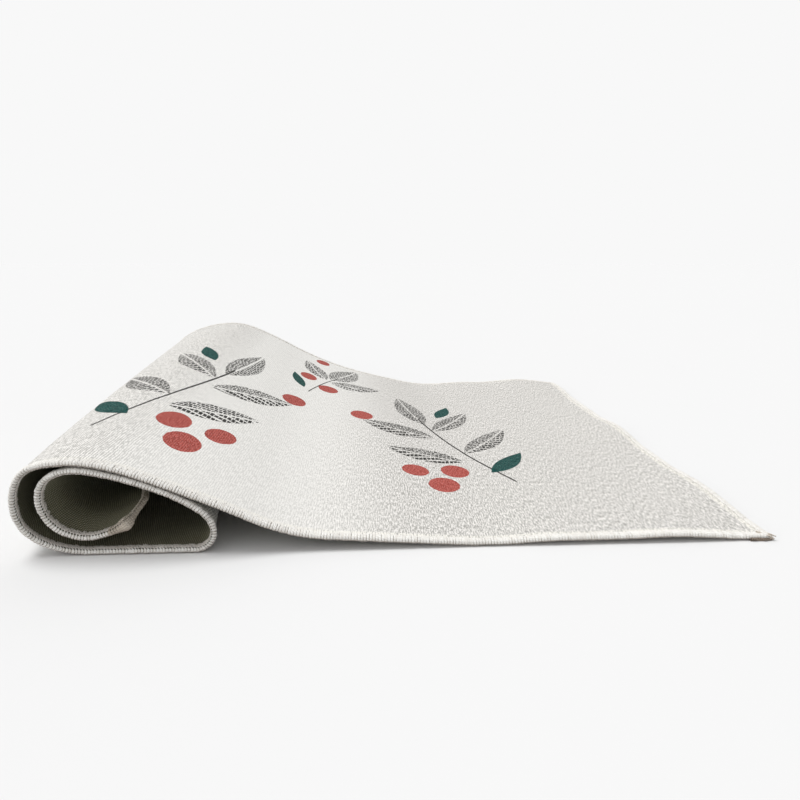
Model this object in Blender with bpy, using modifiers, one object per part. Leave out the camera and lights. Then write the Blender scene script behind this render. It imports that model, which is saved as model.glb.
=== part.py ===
"""A chenille rug, 0.8 m by 1.5 m. One end lies flat; the rest rises over a loose
roll of its own cloth, which is low at the front side and tall at the far side.

Two pieces are made flat, at the size they are cut and sewn, and then laid down by
one function:
  rug_cloth      the chenille cloth with its woven, coated back, one sheet
  overlock_edge  the band of overlocking thread sewn round all four sides

Distances along the cloth are measured from the flat short end (s = 0) to the short
end inside the roll (s = LENGTH), and across it from the front long side (v = 0) to
the far long side (v = 1). +X points to the flat end, +Y to the far side, +Z up.
"""

import math

import bmesh
import bpy
import numpy as np

# ---- driving dimensions, in metres ------------------------------------------
WIDTH = 0.800  # over the overlocking, across the cloth
LENGTH = 1.500  # over the overlocking, along the cloth
CLOTH_THICK = 0.0042  # pile, ground and back together
EDGE_THICK = 0.0072  # over the overlocking thread
PRESSED = 0.17  # the front edge's inner turn is pressed this much thinner
PRESSED_AT = 1.216  # at this distance along it
EDGE_REACH = 0.0095  # the thread reaches this far in from the side
EDGE_WRAP = 0.0024  # thread outside the cut side of the cloth
GAP = 0.0003  # clearance between cloth and thread
RIM_RISE = 0.0017  # the thicker edge lifts the cloth beside it
RIM_REACH = 0.040  # over this distance
ARC_STEP = 0.002  # step along the cloth when its course is added up
SOFTEN = 9  # steps over which a change of course is rounded

# ---- how the cloth lies -------------------------------------------------------
# One row for each stretch of the course, from the flat end to the end inside the
# roll. front_mm and far_mm say how far along the cloth the stretch starts at the
# two long sides. The headings are in degrees: 0 runs level towards -X, below 0
# climbs, 90 goes straight down, 180 runs back level, 270 straight up, and past 360
# is the second turn. ease bends the way from the front value to the far one, and
# tuck_mm draws a row nearer just behind the front side, where the inner turn is
# tighter. Rows that lie past the cloth's length at the far side only steer the
# turns nearer the front.
COURSE = (
    # name               front_mm  front_deg  far_mm  far_deg  ease  tuck_mm
    ("flat run",                0,      0.0,      0,     0.0,  1.0,   0),
    ("lift off",              290,      0.0,    290,     0.0,  1.0,   0),
    ("first slope",           360,     -3.6,    375,   -12.0,  1.0,   0),
    ("foot of the rise",      515,     -4.0,    500,   -15.0,  1.0,   0),
    ("rise start",            600,    -26.5,    690,   -29.5,  1.0,   0),
    ("rise end",              735,    -22.0,    785,   -23.5,  1.0,   0),
    ("crest start",           780,    -11.5,    818,   -10.5,  1.0,   0),
    ("crest",                 812,      2.5,    850,     2.5,  1.0,   0),
    ("shoulder",              838,     11.5,    925,    20.5,  0.8,   0),
    ("left bend top",         870,     65.0,    995,    46.0,  0.8,   0),
    ("left bend side",        905,     95.0,   1050,   100.0,  0.8,   0),
    ("left bend foot",        940,    143.0,   1110,   150.0,  0.8,   0),
    ("underside start",       985,    174.0,   1170,   180.0,  0.8,   0),
    ("underside end",        1120,    185.0,   1315,   180.0,  0.9,   0),
    ("right bend side",      1150,    270.0,   1367,   268.0,  0.9,   0),
    ("right bend top",       1176,    319.5,   1417,   332.0,  0.9,   0),
    ("return start",         1205,    332.0,   1455,   338.0,  0.9,   0),
    ("return end",           1310,    349.5,   1560,   350.0,  1.1,   2),
    ("second bend top",      1345,    386.0,   1600,   389.0,  1.1,   5),
    ("second bend side",     1375,    443.0,   1640,   444.0,  1.1,   9),
    ("second bend foot",     1402,    478.0,   1680,   476.0,  1.1,  14),
    ("tail",                 1432,    520.0,   1720,   522.0,  1.1,  20),
    ("tail end",             1500,    569.0,   1790,   560.0,  1.1,  18),
)
TUCK_FULL, TUCK_GONE = 0.06, 0.40  # shares of the width where the tuck is whole, gone

# Soft waves in the free sides. centre_mm and half_mm run along the side (from the
# flat end, or from the front side), reach_mm runs in from it.
WAVES = (
    # name               side     centre_mm  half_mm  height_mm  reach_mm
    ("front corner",     "front",       120,     125,       6.5,      160),
    ("front middle",     "front",       245,     105,       4.8,      160),
    ("flat end far",     "flat",        740,     120,       6.5,      120),
    ("flat end middle",  "flat",        400,     120,       9.0,      120),
    ("flat end near",    "flat",        130,     130,       7.0,      120),
    ("far corner",       "far",          95,     110,      13.5,      170),
    ("far middle",       "far",         230,     170,       9.0,      170),
    ("inner end",        "inner",        80,      80,      10.0,       70),
    ("inner corner",     "inner",         0,      60,       8.0,       60),
)

# Stations along the cloth: how far apart the facets' lines are, by stretch.
STATIONS = (
    # name               from_mm  to_mm  step_mm
    ("flat run",             9.5,   330,    42.0),
    ("rise",                 330,   780,    26.0),
    ("roll",                 780, 1490.5,   10.8),
)
ACROSS_CELLS = 14  # cells across the cloth, apart from the two along its sides


def smooth(x):
    """0 to 1 with level ends."""
    x = np.clip(x, 0.0, 1.0)
    return x * x * (3.0 - 2.0 * x)


def rounded(values, count):
    """The mean of each value and its neighbours, count in all."""
    before = np.full(count // 2, values[0])
    after = np.full(count - 1 - count // 2, values[-1])
    padded = np.concatenate([before, values, after])
    return np.convolve(padded, np.full(count, 1.0 / count), "valid")


def row_number(name):
    return [row[0] for row in COURSE].index(name)


def course(v):
    """The cloth's course at v, as arrays of arc length, x and z of its middle."""
    rows = np.array([row[1:] for row in COURSE], float)
    share = v ** rows[:, 4]
    tucked = smooth(v / TUCK_FULL) * (1.0 - smooth((v - TUCK_FULL) / TUCK_GONE))
    at = rows[:, 0] + (rows[:, 2] - rows[:, 0]) * share - rows[:, 5] * tucked
    at /= 1000.0
    heading = rows[:, 1] + (rows[:, 3] - rows[:, 1]) * share
    arc = np.linspace(0.0, LENGTH, round(LENGTH / ARC_STEP) + 1)
    turn = np.radians(rounded(np.interp(arc, at, heading), SOFTEN))
    middle = (turn[1:] + turn[:-1]) / 2.0
    x = -np.concatenate([[0.0], np.cumsum(np.cos(middle))]) * ARC_STEP
    z = -np.concatenate([[0.0], np.cumsum(np.sin(middle))]) * ARC_STEP
    z += CLOTH_THICK / 2.0
    # The underside of the roll settles on the floor: what is left over is spread
    # along the left bend.
    under = (arc > at[row_number("underside start")]) & (
        arc < at[row_number("underside end")]
    )
    left_over = z[under].mean() - CLOTH_THICK / 2.0
    bend = at[row_number("left bend top")], at[row_number("underside start")]
    z -= left_over * smooth((arc - bend[0]) / (bend[1] - bend[0]))
    return arc, x, z


def wave_height(s, v):
    """How far the waves lift the cloth at s, v."""
    places = {
        "front": (s, v * WIDTH),
        "far": (s, (1.0 - v) * WIDTH),
        "flat": (v * WIDTH, s),
        "inner": (v * WIDTH, LENGTH - s),
    }
    lift = 0.0
    for _, side, centre, half, height, reach in WAVES:
        along, inwards = places[side]
        lift += (
            height
            / 1000.0
            * (1.0 - smooth(abs(along - centre / 1000.0) / (half / 1000.0)))
            * (1.0 - smooth(inwards / (reach / 1000.0)))
        )
    return lift


COURSES = {}


def middle_point(s, v):
    """The middle of the cloth's thickness at s (metres) and v (0 to 1)."""
    key = round(v, 6)
    if key not in COURSES:
        COURSES[key] = course(v)
    arc, x, z = COURSES[key]
    rim = min(s, LENGTH - s, v * WIDTH, (1.0 - v) * WIDTH)
    floor = CLOTH_THICK / 2.0 + RIM_RISE * (1.0 - smooth(rim / RIM_REACH))
    height = np.interp(s, arc, z) + wave_height(s, v)
    return np.array([np.interp(s, arc, x), v * WIDTH, max(height, floor)])


def laid(s, v, up):
    """Where a point of the flat cloth comes to lie, up above its middle."""
    ds, dv = 0.002, 0.0025
    s0, s1 = max(s - ds, 0.0), min(s + ds, LENGTH)
    v0, v1 = max(v - dv, 0.0), min(v + dv, 1.0)
    along = middle_point(s1, v) - middle_point(s0, v)
    across = middle_point(s, v1) - middle_point(s, v0)
    normal = np.cross(across, along)
    return middle_point(s, v) + normal / np.linalg.norm(normal) * up


def stations_along():
    """Arc lengths of the lines across the cloth, without its two ends."""
    found = []
    for _, start, end, step in STATIONS:
        count = math.ceil((end - start) / step)
        found += [start + (end - start) * k / count for k in range(count)]
    return [s / 1000.0 for s in found] + [LENGTH - EDGE_REACH]


def stations_across():
    """Distances of the lines along the cloth, without its two long sides."""
    span = WIDTH - 2.0 * EDGE_REACH
    return [EDGE_REACH + span * k / ACROSS_CELLS for k in range(ACROSS_CELLS + 1)]


def grid_object(name, columns, rows):
    """A flat grid mesh object with this many cells."""
    bpy.ops.mesh.primitive_grid_add(
        x_subdivisions=columns, y_subdivisions=rows, size=2.0
    )
    obj = bpy.context.object
    obj.name = name
    obj.data.name = name
    return obj


def grid_index(co, columns, rows):
    """Column and row of a vertex of that grid."""
    return round((co.x + 1.0) / 2.0 * columns), round((co.y + 1.0) / 2.0 * rows)


def split_faces(obj):
    """Splits each four-sided face along the same diagonal, so that the facets of
    cloth and thread stay parallel where the cloth twists."""
    shape = bmesh.new()
    shape.from_mesh(obj.data)
    bmesh.ops.remove_doubles(shape, verts=shape.verts, dist=0.00002)
    for face in [f for f in shape.faces if len(f.verts) == 4]:
        corners = list(face.verts)
        sums = [c.co.y - c.co.x + c.co.z for c in corners]
        first = sums.index(min(sums))
        bmesh.utils.face_split(face, corners[first], corners[first - 2])
    bmesh.ops.recalc_face_normals(shape, faces=shape.faces)
    shape.to_mesh(obj.data)
    shape.free()


def lay_down(obj):
    """Moves each point of a flat piece (x = -s, y across, z above the middle)."""
    split_faces(obj)
    for vert in obj.data.vertices:
        flat = vert.co.copy()
        v = min(max(flat.y / WIDTH, 0.0), 1.0)
        vert.co = laid(-flat.x, v, flat.z)
    obj.data.update()


def make_cloth():
    """The cut sheet: a flat grid, thickened, then laid."""
    inset = EDGE_WRAP + GAP
    along = [inset] + stations_along() + [LENGTH - inset]
    across = [inset] + stations_across() + [WIDTH - inset]
    columns, rows = len(along) - 1, len(across) - 1
    obj = grid_object("rug_cloth", columns, rows)
    for vert in obj.data.vertices:
        i, j = grid_index(vert.co, columns, rows)
        vert.co = (-along[columns - i], across[j], 0.0)
    thicken = obj.modifiers.new("thickness", "SOLIDIFY")
    thicken.thickness = CLOTH_THICK
    thicken.offset = 0.0
    thicken.use_even_offset = True
    bpy.ops.object.modifier_apply(modifier=thicken.name)
    lay_down(obj)
    return obj


def edge_section():
    """The overlocking's closed C-shaped section: inset from the side, height."""
    outer, inner = EDGE_THICK / 2.0, CLOTH_THICK / 2.0 + GAP
    return (
        (EDGE_REACH, outer),
        (0.0, outer),
        (0.0, -outer),
        (EDGE_REACH, -outer),
        (EDGE_REACH, -inner),
        (EDGE_WRAP, -inner),
        (EDGE_WRAP, inner),
        (EDGE_REACH, inner),
    )


def edge_stations():
    """Points round the rug's outline, as a way to find the point at any inset."""
    along = stations_along()
    across = stations_across()
    walk = [(0.0, 0.0)] + [(s, 0.0) for s in along]
    walk += [(LENGTH, 0.0)] + [(LENGTH, y) for y in across]
    walk += [(LENGTH, WIDTH)] + [(s, WIDTH) for s in reversed(along)]
    walk += [(0.0, WIDTH)] + [(0.0, y) for y in reversed(across)]
    return walk


def make_edge():
    """The overlocking: its section carried round the outline, then laid."""
    section = edge_section()
    outer = EDGE_THICK / 2.0
    walk = edge_stations()
    columns, rows = len(walk), len(section)
    obj = grid_object("overlock_edge", columns, rows)
    for vert in obj.data.vertices:
        i, j = grid_index(vert.co, columns, rows)
        s, y = walk[i % columns]
        inset, height = section[j % rows]
        if abs(height) > outer - 1e-9 and y < WIDTH / 2.0:  # two turns press on each other
            height *= 1.0 - PRESSED * math.exp(-(((s - PRESSED_AT) / 0.030) ** 2))
        s = min(max(s, inset), LENGTH - inset)
        y = min(max(y, inset), WIDTH - inset)
        vert.co = (-s, y, height)
    lay_down(obj)
    return obj


def stand_at_origin(objects):
    """Moves the pieces so that the middle of their box's bottom is the origin."""
    points = np.array([tuple(v.co) for obj in objects for v in obj.data.vertices])
    low, high = points.min(axis=0), points.max(axis=0)
    shift = ((low[0] + high[0]) / 2.0, (low[1] + high[1]) / 2.0, low[2])
    for obj in objects:
        for vert in obj.data.vertices:
            vert.co = [c - m for c, m in zip(vert.co, shift)]
        obj.data.update()


def cloth_material(name, colour, roughness):
    material = bpy.data.materials.new(name)
    material.use_nodes = True
    shader = material.node_tree.nodes["Principled BSDF"]
    shader.inputs["Base Color"].default_value = (*colour, 1.0)
    shader.inputs["Roughness"].default_value = roughness
    shader.inputs["Metallic"].default_value = 0.0
    return material


def main():
    for obj in list(bpy.data.objects):
        bpy.data.objects.remove(obj, do_unlink=True)
    parts = bpy.data.collections.new("chenille_rug")
    bpy.context.scene.collection.children.link(parts)

    cloth = make_cloth()
    edge = make_edge()
    stand_at_origin([cloth, edge])
    cloth.data.materials.append(
        cloth_material("cream_chenille", (0.74, 0.72, 0.67), 0.92)
    )
    edge.data.materials.append(
        cloth_material("off_white_thread", (0.80, 0.78, 0.74), 0.80)
    )
    for obj in (cloth, edge):
        for other in list(obj.users_collection):
            other.objects.unlink(obj)
        parts.objects.link(obj)
        obj.data.shade_smooth()
        obj.data.set_sharp_from_angle(angle=math.radians(40))


main()
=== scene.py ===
"""Looks of the half unrolled chenille rug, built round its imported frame.

The rug is laid from its flat cut by the same course of headings as the CAD, on a
fine grid. Its pieces are the cloth (printed chenille face, woven back), and the
overlocking round its four sides, made of real thread loops. The print is a
generic botanical one. Lengths are in metres unless a name says mm.
"""

import math

import bpy
import numpy as np
from mathutils import Matrix, Vector


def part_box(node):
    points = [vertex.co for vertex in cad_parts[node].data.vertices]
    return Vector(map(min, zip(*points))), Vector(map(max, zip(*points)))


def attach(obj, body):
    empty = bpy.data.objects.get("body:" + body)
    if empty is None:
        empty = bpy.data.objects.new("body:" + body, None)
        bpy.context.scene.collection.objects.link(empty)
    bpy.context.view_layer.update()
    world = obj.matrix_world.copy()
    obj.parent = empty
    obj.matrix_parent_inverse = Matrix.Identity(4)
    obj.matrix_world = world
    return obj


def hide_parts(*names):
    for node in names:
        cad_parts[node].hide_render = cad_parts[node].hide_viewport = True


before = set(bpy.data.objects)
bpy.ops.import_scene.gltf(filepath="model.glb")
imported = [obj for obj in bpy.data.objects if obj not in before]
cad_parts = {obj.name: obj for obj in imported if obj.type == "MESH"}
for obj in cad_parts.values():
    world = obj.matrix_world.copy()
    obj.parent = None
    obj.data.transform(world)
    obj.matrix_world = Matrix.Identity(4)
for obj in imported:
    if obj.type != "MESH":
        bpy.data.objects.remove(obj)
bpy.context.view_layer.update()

# ---- the rug as cut ------------------------------------------------------------
WIDTH, LENGTH = 0.800, 1.500
CLOTH_THICK = 0.0042
RIM_RISE, RIM_REACH = 0.0017, 0.040
ARC_STEP, SOFTEN = 0.002, 9

# ---- how it lies: the same tables as the CAD -----------------------------------
COURSE = (
    # name               front_mm  front_deg  far_mm  far_deg  ease  tuck_mm
    ("flat run",                0,      0.0,      0,     0.0,  1.0,   0),
    ("lift off",              290,      0.0,    290,     0.0,  1.0,   0),
    ("first slope",           360,     -3.6,    375,   -12.0,  1.0,   0),
    ("foot of the rise",      515,     -4.0,    500,   -15.0,  1.0,   0),
    ("rise start",            600,    -26.5,    690,   -29.5,  1.0,   0),
    ("rise end",              735,    -22.0,    785,   -23.5,  1.0,   0),
    ("crest start",           780,    -11.5,    818,   -10.5,  1.0,   0),
    ("crest",                 812,      2.5,    850,     2.5,  1.0,   0),
    ("shoulder",              838,     11.5,    925,    20.5,  0.8,   0),
    ("left bend top",         870,     65.0,    995,    46.0,  0.8,   0),
    ("left bend side",        905,     95.0,   1050,   100.0,  0.8,   0),
    ("left bend foot",        940,    143.0,   1110,   150.0,  0.8,   0),
    ("underside start",       985,    174.0,   1170,   180.0,  0.8,   0),
    ("underside end",        1120,    185.0,   1315,   180.0,  0.9,   0),
    ("right bend side",      1150,    270.0,   1367,   268.0,  0.9,   0),
    ("right bend top",       1176,    319.5,   1417,   332.0,  0.9,   0),
    ("return start",         1205,    332.0,   1455,   338.0,  0.9,   0),
    ("return end",           1310,    349.5,   1560,   350.0,  1.1,   2),
    ("second bend top",      1345,    386.0,   1600,   389.0,  1.1,   5),
    ("second bend side",     1375,    443.0,   1640,   444.0,  1.1,   9),
    ("second bend foot",     1402,    478.0,   1680,   476.0,  1.1,  14),
    ("tail",                 1432,    520.0,   1720,   522.0,  1.1,  20),
    ("tail end",             1500,    569.0,   1790,   560.0,  1.1,  18),
)
TUCK_FULL, TUCK_GONE = 0.06, 0.40
WAVES = (
    # name               side     centre_mm  half_mm  height_mm  reach_mm
    ("front corner",     "front",       120,     125,       6.5,      160),
    ("front middle",     "front",       245,     105,       4.8,      160),
    ("flat end far",     "flat",        740,     120,       6.5,      120),
    ("flat end middle",  "flat",        400,     120,       9.0,      120),
    ("flat end near",    "flat",        130,     130,       7.0,      120),
    ("far corner",       "far",          95,     110,      13.5,      170),
    ("far middle",       "far",         230,     170,       9.0,      170),
    ("inner end",        "inner",        80,      80,      10.0,       70),
    ("inner corner",     "inner",         0,      60,       8.0,       60),
)

# ---- the fine mesh and the sewing ------------------------------------------------
CLOTH_INSET = 0.0020  # the cut side of the cloth lies this far inside the thread
CELLS = (
    # name       from_mm  to_mm  step_mm
    ("flat run",      16,   330,    7.6),
    ("rise",         330,   780,    5.6),
    ("roll",         780,  1484,    3.3),
)
ACROSS_STEP = 0.0062
EDGE_LINES_MM = (2.0, 3.6, 5.4, 7.0, 8.4, 9.8, 12.0, 16.0)
EDGE_HEIGHT_MM = (
    # inset_mm  half thickness of the cloth there
    (0.0, 1.45),
    (6.0, 1.55),
    (8.2, 1.60),
    (9.8, 1.90),
    (13.0, 2.10),
    (900.0, 2.10),
)
KNOB = (1.496, 0.005, 0.0098, 1.25)  # s, y, reach, extra share of thickness

STITCH = 0.0034  # pitch of the overlocking
CORNER = 0.0066  # its corners are this round
FACE_YARN = (
    # along (share of a stitch), inset_mm, height_mm, share of the yarn's radius
    (0.00,  9.9, 1.30, 0.74),
    (0.14,  9.5, 2.00, 0.92),
    (0.25,  8.2, 2.55, 1.04),
    (0.30,  6.4, 2.62, 1.10),
    (0.31,  5.1, 2.08, 1.00),
    (0.32,  3.8, 2.66, 1.14),
    (0.33,  2.3, 2.40, 1.16),
    (0.35,  1.3, 1.30, 1.02),
    (0.36,  1.1, 0.00, 0.95),
    (0.38,  1.5, -1.45, 0.88),
    (0.50,  2.8, -2.30, 0.76),
    (0.62,  1.5, -1.45, 0.88),
    (0.64,  1.1, 0.00, 0.95),
    (0.65,  1.3, 1.30, 1.02),
    (0.67,  2.3, 2.40, 1.16),
    (0.68,  3.8, 2.66, 1.14),
    (0.69,  5.1, 2.08, 1.00),
    (0.70,  6.4, 2.62, 1.10),
    (0.75,  8.2, 2.55, 1.04),
    (0.86,  9.5, 2.00, 0.92),
)
BACK_YARN = (
    (0.00, 10.2, -2.25, 0.96),
    (0.14, 8.4, -2.50, 0.92),
    (0.30, 5.8, -2.55, 0.92),
    (0.42, 3.6, -2.70, 1.02),
    (0.50, 2.9, -2.75, 1.08),
    (0.58, 3.6, -2.70, 1.02),
    (0.70, 5.8, -2.55, 0.92),
    (0.86, 8.4, -2.50, 0.92),
)
BACK_CROSS = (
    (0.00, 3.6, -2.95, 1.08),
    (0.16, 5.2, -3.00, 0.92),
    (0.34, 7.6, -2.95, 0.92),
    (0.50, 9.3, -2.85, 1.04),
    (0.66, 7.6, -2.95, 0.92),
    (0.84, 5.2, -3.00, 0.92),
)
NEEDLE_FACE = (
    (0.00, 5.1, 2.10, 1.0), (0.25, 5.1, 2.60, 1.0), (0.50, 5.1, 2.85, 1.0), (0.75, 5.1, 2.60, 1.0),
)
NEEDLE_BACK = (
    (0.00, 10.2, -2.60, 1.0), (0.25, 10.2, -2.10, 1.0), (0.50, 10.2, -1.50, 1.0), (0.75, 10.2, -2.10, 1.0),
)
YARNS = (
    # name, cell, radius_mm, sides
    ("face", FACE_YARN, 1.02, 6),
    ("back", BACK_YARN, 0.80, 5),
    ("back cross", BACK_CROSS, 0.70, 5),
    ("needle face", NEEDLE_FACE, 0.26, 4),
    ("needle back", NEEDLE_BACK, 0.45, 5),
)


def smooth(x):
    x = np.clip(x, 0.0, 1.0)
    return x * x * (3.0 - 2.0 * x)


def rounded(values, count):
    before = np.full(count // 2, values[0])
    after = np.full(count - 1 - count // 2, values[-1])
    padded = np.concatenate([before, values, after])
    return np.convolve(padded, np.full(count, 1.0 / count), "valid")


def row_number(name):
    return [row[0] for row in COURSE].index(name)


def course(v):
    """The cloth's course at v, as arrays of arc length, x and z of its middle."""
    rows = np.array([row[1:] for row in COURSE], float)
    share = v ** rows[:, 4]
    tucked = smooth(v / TUCK_FULL) * (1.0 - smooth((v - TUCK_FULL) / TUCK_GONE))
    at = rows[:, 0] + (rows[:, 2] - rows[:, 0]) * share - rows[:, 5] * tucked
    at /= 1000.0
    heading = rows[:, 1] + (rows[:, 3] - rows[:, 1]) * share
    arc = np.linspace(0.0, LENGTH, round(LENGTH / ARC_STEP) + 1)
    turn = np.radians(rounded(np.interp(arc, at, heading), SOFTEN))
    middle = (turn[1:] + turn[:-1]) / 2.0
    x = -np.concatenate([[0.0], np.cumsum(np.cos(middle))]) * ARC_STEP
    z = -np.concatenate([[0.0], np.cumsum(np.sin(middle))]) * ARC_STEP
    z += CLOTH_THICK / 2.0
    under = (arc > at[row_number("underside start")]) & (
        arc < at[row_number("underside end")]
    )
    left_over = z[under].mean() - CLOTH_THICK / 2.0
    bend = at[row_number("left bend top")], at[row_number("underside start")]
    z -= left_over * smooth((arc - bend[0]) / (bend[1] - bend[0]))
    return arc, x, z


def wave_height(s, y):
    places = {
        "front": (s, y),
        "far": (s, WIDTH - y),
        "flat": (y, s),
        "inner": (y, LENGTH - s),
    }
    lift = 0.0
    for _, side, centre, half, height, reach in WAVES:
        along, inwards = places[side]
        lift = lift + (
            height
            / 1000.0
            * (1.0 - smooth(abs(along - centre / 1000.0) / (half / 1000.0)))
            * (1.0 - smooth(inwards / (reach / 1000.0)))
        )
    return lift


class Laid:
    """The laid cloth's middle surface and normals, on a grid of its flat cut."""

    MARGIN = 6

    def __init__(self):
        columns = round(LENGTH / ARC_STEP) + 1
        rows = round(WIDTH / ARC_STEP) + 1
        s = np.arange(columns) * ARC_STEP
        y = np.arange(rows) * ARC_STEP
        middle = np.empty((columns, rows, 3))
        for j in range(rows):
            _, middle[:, j, 0], middle[:, j, 2] = course(min(y[j] / WIDTH, 1.0))
        middle[:, :, 1] = y[None, :]
        ss, yy = np.meshgrid(s, y, indexing="ij")
        rim = np.minimum(np.minimum(ss, LENGTH - ss), np.minimum(yy, WIDTH - yy))
        floor = CLOTH_THICK / 2.0 + RIM_RISE * (1.0 - smooth(rim / RIM_REACH))
        middle[:, :, 2] = np.maximum(middle[:, :, 2] + wave_height(ss, yy), floor)
        middle = self.widened(middle)
        along = np.gradient(middle, axis=0)
        across = np.gradient(middle, axis=1)
        normal = np.cross(across, along)
        self.normal = normal / np.linalg.norm(normal, axis=2, keepdims=True)
        self.middle = middle

    def widened(self, grid):
        """The grid with a margin that goes straight on past each side."""
        m = self.MARGIN
        for axis in (0, 1):
            grid = np.moveaxis(grid, axis, 0)
            k = np.arange(1, m + 1)[:, None, None]
            before = grid[0] - k[::-1] * (grid[1] - grid[0])
            after = grid[-1] + k * (grid[-1] - grid[-2])
            grid = np.moveaxis(np.concatenate([before, grid, after]), 0, axis)
        return grid

    def lay(self, s, y, up):
        """Where points of the flat cloth come to lie: n by 3."""
        a = np.asarray(s) / ARC_STEP + self.MARGIN
        b = np.asarray(y) / ARC_STEP + self.MARGIN
        i = np.clip(np.floor(a).astype(int), 0, self.middle.shape[0] - 2)
        j = np.clip(np.floor(b).astype(int), 0, self.middle.shape[1] - 2)
        fa, fb = (a - i)[..., None], (b - j)[..., None]

        def at(grid):
            low = grid[i, j] * (1 - fa) + grid[i + 1, j] * fa
            high = grid[i, j + 1] * (1 - fa) + grid[i + 1, j + 1] * fa
            return low * (1 - fb) + high * fb

        normal = at(self.normal)
        normal /= np.linalg.norm(normal, axis=-1, keepdims=True)
        return at(self.middle) + normal * np.asarray(up)[..., None]

    def up(self, s, y):
        """The cloth's own up direction at points of the flat cloth."""
        return self.lay(s, y, np.ones_like(s)) - self.lay(s, y, np.zeros_like(s))

    def settle(self):
        """Moves the grid so that the outline comes where the CAD's thread band is."""
        low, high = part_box("overlock_edge")
        s = np.concatenate([np.linspace(0, LENGTH, 1501)] * 2 + [np.zeros(801), np.full(801, LENGTH)])
        y = np.concatenate([np.zeros(1501), np.full(1501, WIDTH)] + [np.linspace(0, WIDTH, 801)] * 2)
        found = np.concatenate([self.lay(s, y, np.full(len(s), h)) for h in (0.003, -0.003)])
        shift = (np.array(low) + np.array(high) - found.min(0) - found.max(0)) / 2.0
        self.middle[:, :, :2] += shift[:2]


def soft_noise(s, y, seed, size):
    """Smooth pseudo-random values of about -1 to 1, from a seeded lattice."""
    rng = np.random.default_rng(seed)
    lattice = rng.uniform(-1, 1, (int(LENGTH / size) + 4, int(WIDTH / size) + 4))
    a, b = np.clip(s, 0, LENGTH) / size, np.clip(y, 0, WIDTH) / size
    i, j = np.floor(a).astype(int), np.floor(b).astype(int)
    fa, fb = smooth(a - i), smooth(b - j)
    low = lattice[i, j] * (1 - fa) + lattice[i + 1, j] * fa
    high = lattice[i, j + 1] * (1 - fa) + lattice[i + 1, j + 1] * fa
    return low * (1 - fb) + high * fb


def knob(s, y):
    """The corner inside the roll is bunched up by its sewing."""
    s0, y0, reach, extra = KNOB
    return 1.0 + extra * np.exp(-((s - s0) ** 2 + (y - y0) ** 2) / reach**2)


# ---- meshes ----------------------------------------------------------------------
def make_object(name, verts, faces, materials, uvs, face_material=None):
    """A mesh object. faces and uvs are lists of arrays, each of one face size."""
    mesh = bpy.data.meshes.new(name)
    verts = np.asarray(verts, np.float32)
    loops = np.concatenate([f.reshape(-1) for f in faces]).astype(np.int32)
    sizes = np.concatenate([np.full(len(f), f.shape[1]) for f in faces])
    starts = np.concatenate([[0], np.cumsum(sizes)[:-1]]).astype(np.int32)
    mesh.vertices.add(len(verts))
    mesh.vertices.foreach_set("co", verts.ravel())
    mesh.loops.add(len(loops))
    mesh.loops.foreach_set("vertex_index", loops)
    mesh.polygons.add(len(starts))
    mesh.polygons.foreach_set("loop_start", starts)
    for layer, values in uvs.items():
        uv = mesh.uv_layers.new(name=layer)
        flat = np.concatenate([v.reshape(-1, 2) for v in values]).astype(np.float32)
        uv.data.foreach_set("uv", flat.ravel())
    mesh.update(calc_edges=True)
    for material in materials:
        mesh.materials.append(material)
    if face_material is not None:
        mesh.polygons.foreach_set("material_index", face_material.astype(np.int32))
    mesh.polygons.foreach_set("use_smooth", np.ones(len(starts), bool))
    mesh.validate()
    obj = bpy.data.objects.new(name, mesh)
    bpy.context.scene.collection.objects.link(obj)
    return obj


def tube(points, reference, radius, sides):
    """Rings round a line of points: vertices, quads with their UVs, and end fans."""
    count = len(points)
    tangent = np.gradient(points, axis=0)
    tangent /= np.maximum(np.linalg.norm(tangent, axis=1, keepdims=True), 1e-9)
    u = np.empty_like(points)
    side = np.array(reference, float)
    for k in range(count):
        # carried along the line without twist
        side = side - tangent[k] * (side @ tangent[k])
        side = side / math.sqrt(side @ side)
        u[k] = side
    w = np.cross(tangent, u)
    turn = np.arange(sides) * 2.0 * math.pi / sides
    ring = (
        np.cos(turn)[None, :, None] * u[:, None] + np.sin(turn)[None, :, None] * w[:, None]
    )
    verts = points[:, None] + ring * np.asarray(radius)[:, None, None]
    index = np.arange(count * sides).reshape(count, sides)
    nxt = np.roll(index, -1, axis=1)
    quads = np.stack([index[:-1], nxt[:-1], nxt[1:], index[1:]], axis=-1).reshape(-1, 4)
    run = np.concatenate([[0], np.cumsum(np.linalg.norm(np.diff(points, axis=0), axis=1))])
    a0 = np.broadcast_to(run[:-1, None], (count - 1, sides))
    a1 = np.broadcast_to(run[1:, None], (count - 1, sides))
    b0 = np.broadcast_to(np.arange(sides) / sides, (count - 1, sides))
    b1 = b0 + 1.0 / sides
    uv = np.stack(
        [np.stack(pair, -1) for pair in ((a0, b0), (a0, b1), (a1, b1), (a1, b0))], axis=2
    ).reshape(-1, 4, 2)
    ends = np.array([index[0, ::-1], index[-1]])
    end_uv = np.zeros((2, sides, 2))
    return verts.reshape(-1, 3), quads, uv, ends, end_uv


def joined(tubes):
    """Several tubes of one side count as vertices, faces and UVs."""
    verts, quads, uvs, ends, end_uvs, base = [], [], [], [], [], 0
    for v, q, uv, e, e_uv in tubes:
        verts.append(v)
        quads.append(q + base)
        uvs.append(uv)
        ends.append(e + base)
        end_uvs.append(e_uv)
        base += len(v)
    return (
        np.concatenate(verts),
        np.concatenate(quads),
        np.concatenate(uvs),
        ends,
        end_uvs,
    )


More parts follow.
